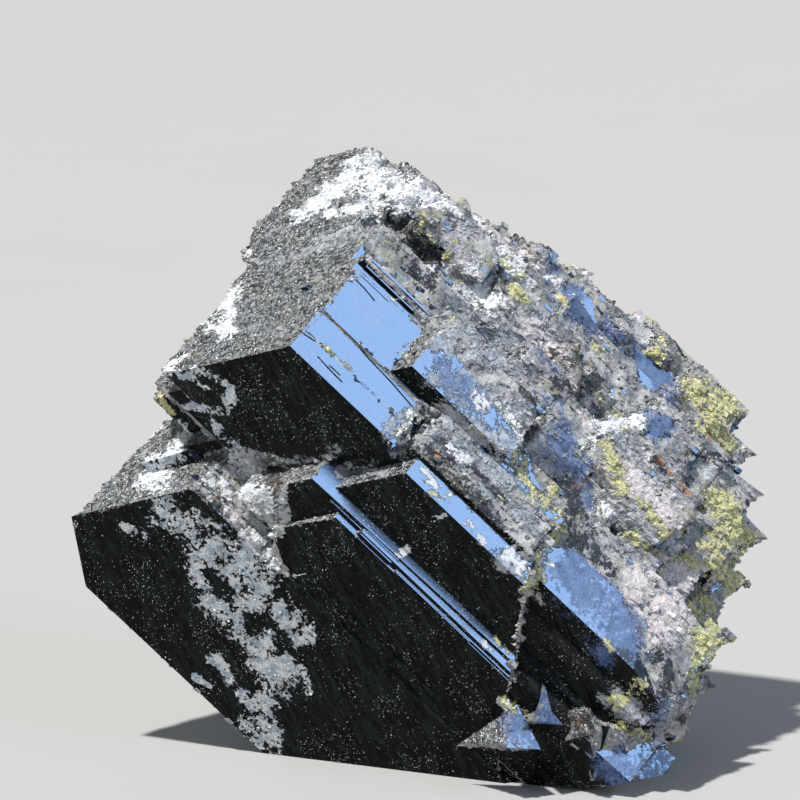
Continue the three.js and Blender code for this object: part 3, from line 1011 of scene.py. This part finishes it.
    def sampled(self, count, density):
        """Random places on the skin, and its normal there, by a density for each triangle."""
        normals = triangle_normals(self.places, self.corners)
        weight = np.linalg.norm(normals, axis=1) * density
        rows = random.choice(len(weight), count, p=weight / weight.sum())
        shares = random.dirichlet((1, 1, 1), count)
        places = (self.places[self.corners[rows]] * shares[:, :, None]).sum(1)
        return places, unit(normals[rows])


def octahedron():
    """A grain with eight faces, one across."""
    places = np.array([(1, 0, 0), (-1, 0, 0), (0, 1, 0), (0, -1, 0), (0, 0, 1), (0, 0, -1)]) / 2
    faces = [(0, 2, 4), (2, 1, 4), (1, 3, 4), (3, 0, 4), (2, 0, 5), (1, 2, 5), (3, 1, 5), (0, 3, 5)]
    return places, np.array(faces)


def taken_from(mesh):
    """The corners and faces of a bmesh, which is then freed."""
    mesh.verts.index_update()
    places = np.array([vertex.co for vertex in mesh.verts])
    faces = np.array([[vertex.index for vertex in face.verts] for face in mesh.faces])
    mesh.free()
    return places, faces


def knob():
    """A round lump, one across."""
    mesh = bmesh.new()
    bmesh.ops.create_icosphere(mesh, subdivisions=1, radius=0.5)
    return taken_from(mesh)


def block():
    """A block, one along each side, its faces in pairs across its first, second and third side."""
    places = np.array([(x, y, z) for x in (-1, 1) for y in (-1, 1) for z in (-1, 1)]) / 2
    faces = [(0, 1, 3, 2), (4, 6, 7, 5), (0, 4, 5, 1), (2, 3, 7, 6), (0, 2, 6, 4), (1, 5, 7, 3)]
    return places, np.array(faces)


def turned(count, spread=None):
    """Random turns as matrices: any turn, or ones of about the spread in degrees."""
    axes = unit(random.normal(size=(count, 3)))
    angles = random.uniform(0, 2 * math.pi, count)
    if spread is not None:
        angles = np.radians(random.normal(0, spread, count))
    cross = np.cross(np.eye(3), axes[:, None])
    sine, cosine = np.sin(angles)[:, None, None], np.cos(angles)[:, None, None]
    outer = axes[:, :, None] * axes[:, None, :]
    return cosine * np.eye(3) + sine * cross + (1 - cosine) * outer


def copies(shape, places, turns, sizes, unevenness):
    """Many uneven copies of a shape as one set of corners and faces."""
    corners, faces = shape
    count = len(places)
    uneven = 1 + random.uniform(-unevenness, unevenness, (count, len(corners), 1))
    local = corners[None] * uneven * sizes[:, None, :]
    everywhere = np.einsum("nij,nkj->nki", turns, local) + places[:, None]
    numbers = faces[None] + (np.arange(count) * len(corners))[:, None, None]
    return inside_box(everywhere.reshape(-1, 3)), numbers.reshape(-1, faces.shape[1])


def mostly_small(least, more, count, low=1.5, high=4):
    """Random sizes: the least and up to so much more, mostly little more."""
    return least + more * random.beta(low, high, count)


def strewn(shape, places, normals, widths, stretch, sunk, unevenness, lean=None):
    """Uneven copies of a shape, its widths in millimetres, sunk into the skin by a share of them.
    They are turned anyhow, or lean that far out of the common growth."""
    sizes = widths[:, None] * random.uniform(*stretch, (len(places), 3)) * MM
    turns = turned(len(places), lean)
    if lean is not None:
        turns = turns @ LATTICE
    return copies(shape, places - normals * sizes[:, :1] * sunk, turns, sizes, unevenness)


def add_piece(name, shape, looks, kinds=0, layers=None, smooth_angle=None):
    """A piece of the specimen from its corners and faces, and the layers that lie on it."""
    corners, faces = shape
    piece = new_mesh(name, corners, faces, looks, np.broadcast_to(kinds, len(faces)), smooth_angle)
    write_layers(piece.data, layers or {})
    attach(piece, BODY)
    return piece


def make_skin(skin):
    """The skin as the object that stands for the solid."""
    piece = add_piece("crystal_skin", (skin.places, skin.corners), FACE_LOOKS,
                      skin.kinds, skin.amounts, smooth_angle=math.radians(38))
    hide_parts(NODE)


def make_dust(skin):
    """The pale specks on every face, in clusters and thickest where it is frosted."""
    count = 24000
    by_kind = np.array([2.4, 1.4, 1.0, 0.6, 0.6])
    on_frost, unseen = 2.2, 0.4
    cluster, middling, contrast = 2.5 * MM, 0.6, 1.9
    thinnest, thickest = 0.10, 2.6
    density = by_kind[skin.kinds] + on_frost * skin.over_triangles(skin.amounts["frost"])
    clusters = fractal(skin.over_triangles(skin.flat), cluster)
    density *= np.clip(middling + contrast * clusters, thinnest, thickest)
    density *= np.where(skin.seen, 1.0, unseen)
    places, normals = skin.sampled(count, density)
    widths = mostly_small(0.03, 0.08, count, 1.0, 6)
    grains = strewn(octahedron(), places, normals, widths,
                    stretch=(0.7, 1.3), sunk=-0.2, unevenness=0.25)
    add_piece("pale_dust", grains, [DUST_LOOK])


def make_grains(skin):
    """The dark sugary grains that stand up from the etched and broken faces."""
    count = 9000
    by_kind = np.array([0.0, 0.0, 1.0, 0.8, 0.6])
    on_rough = skin.kinds >= END
    density = by_kind[skin.kinds] + skin.over_triangles(skin.amounts["frost"]) * on_rough
    places, normals = skin.sampled(count, density)
    widths = mostly_small(0.12, 0.22, count)
    grains = strewn(block(), places, normals, widths,
                    stretch=(0.6, 1.4), sunk=0.15, unevenness=0.25, lean=25)
    layers = skin.coverings.at(grains[0])
    add_piece("etched_grains", grains, FACE_LOOKS, END, layers)


def make_small_crystals(skin):
    """The small crystals that crowd the right-hand mass, in nearly parallel growth."""
    count = 7000
    by_kind = np.array([0.0, 0.0, 0.10, 0.5, 1.0])
    unjumbled, glassy_share = 0.4, 0.13
    jumble = np.maximum.reduce([skin.amounts[name] for name in ("frost", "mauve", "yellow_green")])
    density = by_kind[skin.kinds] * (unjumbled + skin.over_triangles(jumble))
    pixels = skin.eye.pixels(skin.over_triangles(skin.flat))
    density[within(pixels, [LEADING_FACE]) & skin.seen] = 0
    places, normals = skin.sampled(count, density)
    widths = mostly_small(0.22, 0.8, count, 1.1, 5)
    stretch = (0.5, 0.4, 0.8), (0.9, 0.8, 1.6)
    crystals = strewn(block(), places, normals, widths, stretch,
                      sunk=0.3, unevenness=0.10, lean=14)
    glassy = [BRIGHT, BRIGHT, SHADED, SHADED, END, END]
    frosted = [FROSTED, FROSTED, FROSTED, FROSTED, BROKEN, BROKEN]
    kinds = np.where(random.random((count, 1)) < glassy_share, glassy, frosted).reshape(-1)
    layers = skin.coverings.at(crystals[0])
    add_piece("small_crystals", crystals, FACE_LOOKS, kinds, layers)


def make_laths(skin):
    """The thin bright laths along the growth."""
    starts = [(skin.eye.meets(pixel), length, width) for pixel, length, width in LATHS]
    side = BRIGHT_NORMAL.cross(ALONG)
    turns = np.tile(np.array([ALONG, side, BRIGHT_NORMAL]).T, (len(starts), 1, 1))
    middles = np.array([start + ALONG * (length * PIXEL / 2) for start, length, _ in starts])
    sizes = np.array([(length * PIXEL, width * PIXEL, LATH_HEIGHT) for _, length, width in starts])
    kinds = np.tile([END, END, SHADED, SHADED, BRIGHT, BRIGHT], len(starts))
    laths = copies(block(), middles, turns, sizes, unevenness=0.0)
    add_piece("bright_laths", laths, FACE_LOOKS, kinds)


def make_tip(skin):
    """The small three-sided crystal tip."""
    foot = [skin.eye.meets(pixel) - TOWARDS * TIP_ROOT for pixel in TIP_OUTLINE]
    corner = skin.eye.meets(TIP_CORNER) + TOWARDS * TIP_HEIGHT
    tip = bmesh.new()
    bmesh.ops.convex_hull(tip, input=[tip.verts.new(place) for place in (*foot, corner)])
    places, faces = taken_from(tip)
    # The tip is given painted blue sky reflection.
    layers = {name: np.full(len(places), TIP_PAINTED_BLUE_REFLECTION if name == "blue" else 0.0) for name in LAYERS}
    shape = inside_box(places), faces
    add_piece("crystal_tip", shape, FACE_LOOKS, FROSTED, layers)


def make_rims(skin):
    """The whitish grains along edges, partly worn crust and partly painted edge highlights."""
    scatter = 0.35
    places = []
    widths = []
    for width, *line in EDGE_GRAINS_AND_HIGHLIGHTS:
        dots = skin.eye.traced(line, step=0.7)
        places.append(dots + random.normal(0, scatter, dots.shape) * width * MM)
        widths.append(np.full(len(dots), width))
    places = np.vstack(places)
    widths = np.concatenate(widths) * mostly_small(0.4, 1.8, len(places))
    grains = strewn(octahedron(), places, np.zeros_like(places), widths,
                    stretch=(0.6, 1.4), sunk=0.0, unevenness=0.3)
    add_piece("edge_grains_and_painted_highlights", grains, [EDGE_CHIP_AND_HIGHLIGHT_LOOK])


def make_crust(skin, name, look, layer, count, width):
    """Small knobs of crust where a layer is thick, few of them on the smooth faces."""
    steepness, start = 2, 0.75
    on_smooth, at_least = 0.10, 1e-9
    density = np.clip(skin.over_triangles(skin.amounts[layer]) * steepness - start, 0, 1)
    density[skin.kinds <= SHADED] *= on_smooth
    places, normals = skin.sampled(count, density + at_least)
    widths = width * mostly_small(0.4, 1.6, count)
    knobs = strewn(knob(), places, normals, widths,
                   stretch=(0.7, 1.3), sunk=0.2, unevenness=0.22)
    add_piece(name, knobs, [look], smooth_angle=math.radians(60))


def make_floor():
    """A wide plain pale floor under the specimen."""
    half = 3.0
    corners = [(-half, -half, 0), (half, -half, 0), (half, half, 0), (-half, half, 0)]
    look = loose_look("pale_floor", (0.44, 0.45, 0.46), (0.42, 0.43, 0.44), 30.0, 0.8, 0.02)
    floor = new_mesh("floor", corners, [(0, 1, 2, 3)], [look], [0])


def add_light(name, kind, direction, distance, **settings):
    """A light in a direction of the picture, looking back at the specimen."""
    data = bpy.data.lights.new(name, kind)
    for setting, value in settings.items():
        setattr(data, setting, value)
    light = bpy.data.objects.new(name, data)
    away = in_picture(*direction).normalized()
    turn = away.to_track_quat("Z", "Y").to_matrix().to_4x4()
    light.matrix_world = Matrix.Translation(LIT_MIDDLE + away * distance) @ turn
    bpy.context.scene.collection.objects.link(light)


def make_lights():
    """A warm key from above left, a cool disc that the bright faces mirror, and a pale room."""
    add_light("key", "SUN", (-0.28, 0.85, 0.45), 1.0,
              energy=4.6, angle=math.radians(3), color=(1.0, 0.96, 0.90))
    add_light("mirrored", "AREA", (0.69, 0.507, 0.517), 0.7,
              shape="DISK", size=0.26, energy=0.88, color=(0.65, 0.80, 1.05))
    world = bpy.data.worlds.new("room")
    world.use_nodes = True
    background = world.node_tree.nodes["Background"]
    background.inputs["Color"].default_value = (0.82, 0.86, 0.9, 1)
    background.inputs["Strength"].default_value = 0.28
    bpy.context.scene.world = world
    bpy.context.scene.view_settings.view_transform = "Standard"


make_camera()
make_lights()
make_floor()
skin = Skin()
make_skin(skin)
make_dust(skin)
make_grains(skin)
make_small_crystals(skin)
make_laths(skin)
make_tip(skin)
make_rims(skin)
make_crust(skin, "white_crust", CRUST_LOOK, "pale", count=8000, width=0.18)
make_crust(skin, "yellow_green_crust", CRUMB_LOOK, "yellow_green",
           count=4500, width=0.23)
